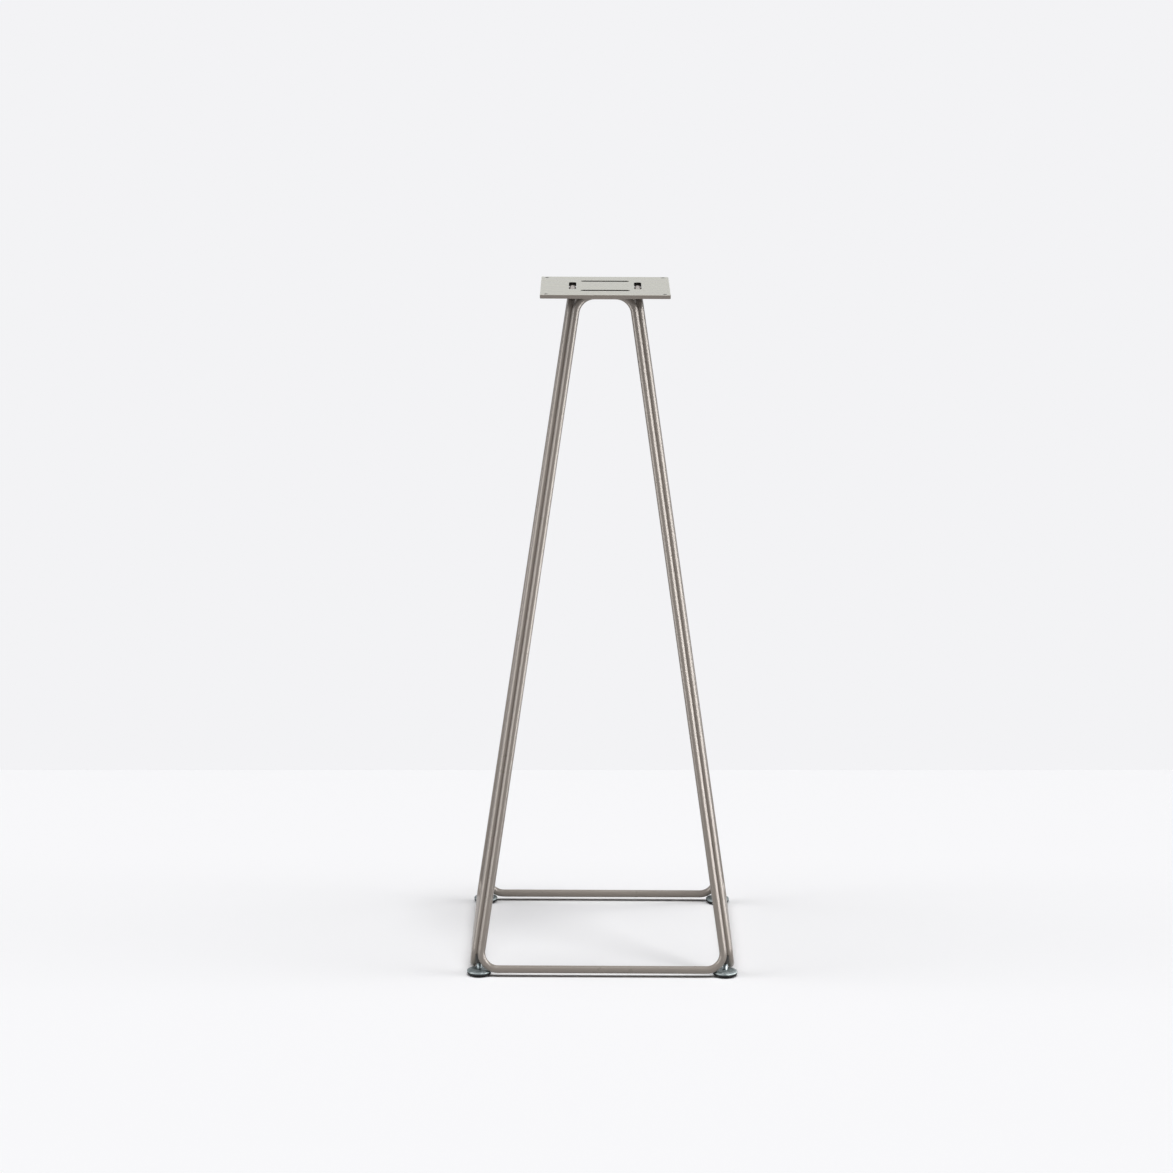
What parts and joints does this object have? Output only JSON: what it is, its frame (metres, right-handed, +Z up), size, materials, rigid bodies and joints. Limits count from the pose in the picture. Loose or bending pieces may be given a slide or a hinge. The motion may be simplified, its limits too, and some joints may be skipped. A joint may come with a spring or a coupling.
{
  "type": "bar table base",
  "caption": "Tall tapering bar table base of bent round rod loops, paired at the corners, under a slotted square top plate with screw holes, on screw-in levelling feet.",
  "frame": {"origin": "on the floor, under the middle of the base, with the feet screwed home", "axes": "+Z up, -Y towards the front of the picture, +X to the right seen from the front"},
  "size_m": [0.4224, 0.4224, 1.056],
  "materials": {
    "paint": "satin taupe powder coat",
    "zinc": "bright zinc plating",
    "nylon": "black, matt"
  },
  "bodies": {
    "base": {"top_plate": "paint", "front_frame": "paint", "right_frame": "paint", "back_frame": "paint", "left_frame": "paint", "front_left_bush": "paint", "front_right_bush": "paint", "back_right_bush": "paint", "back_left_bush": "paint"},
    "front_left_foot": {"front_left_foot_cap": "zinc", "front_left_foot_sole": "nylon"},
    "front_left_stud": {"front_left_foot_stud": "zinc"},
    "front_right_foot": {"front_right_foot_cap": "zinc", "front_right_foot_sole": "nylon"},
    "front_right_stud": {"front_right_foot_stud": "zinc"},
    "back_right_foot": {"back_right_foot_cap": "zinc", "back_right_foot_sole": "nylon"},
    "back_right_stud": {"back_right_foot_stud": "zinc"},
    "back_left_foot": {"back_left_foot_cap": "zinc", "back_left_foot_sole": "nylon"},
    "back_left_stud": {"back_left_foot_stud": "zinc"}
  },
  "joints": [
    {"name": "front_left_foot_level", "type": "slide", "parent": "base", "child": "front_left_foot", "axis": [0, 0, -1], "range_m": [0, 0.006]},
    {"name": "front_left_stud_turn", "type": "hinge", "parent": "front_left_foot", "child": "front_left_stud", "pos_m": [-0.19197, -0.19197, 0.026], "axis": [0, 0, -1], "range_deg": [0, 1728]},
    {"name": "front_right_foot_level", "type": "slide", "parent": "base", "child": "front_right_foot", "axis": [0, 0, -1], "range_m": [0, 0.006]},
    {"name": "front_right_stud_turn", "type": "hinge", "parent": "front_right_foot", "child": "front_right_stud", "pos_m": [0.19197, -0.19197, 0.026], "axis": [0, 0, -1], "range_deg": [0, 1728]},
    {"name": "back_right_foot_level", "type": "slide", "parent": "base", "child": "back_right_foot", "axis": [0, 0, -1], "range_m": [0, 0.006]},
    {"name": "back_right_stud_turn", "type": "hinge", "parent": "back_right_foot", "child": "back_right_stud", "pos_m": [0.19197, 0.19197, 0.026], "axis": [0, 0, -1], "range_deg": [0, 1728]},
    {"name": "back_left_foot_level", "type": "slide", "parent": "base", "child": "back_left_foot", "axis": [0, 0, -1], "range_m": [0, 0.006]},
    {"name": "back_left_stud_turn", "type": "hinge", "parent": "back_left_foot", "child": "back_left_stud", "pos_m": [-0.19197, 0.19197, 0.026], "axis": [0, 0, -1], "range_deg": [0, 1728]}
  ],
  "couplings": [
    {"joint": "front_left_stud_turn", "follows": "front_left_foot_level", "rad_per_m": 5026.5},
    {"joint": "front_right_stud_turn", "follows": "front_right_foot_level", "rad_per_m": 5026.5},
    {"joint": "back_right_stud_turn", "follows": "back_right_foot_level", "rad_per_m": 5026.5},
    {"joint": "back_left_stud_turn", "follows": "back_left_foot_level", "rad_per_m": 5026.5}
  ]
}
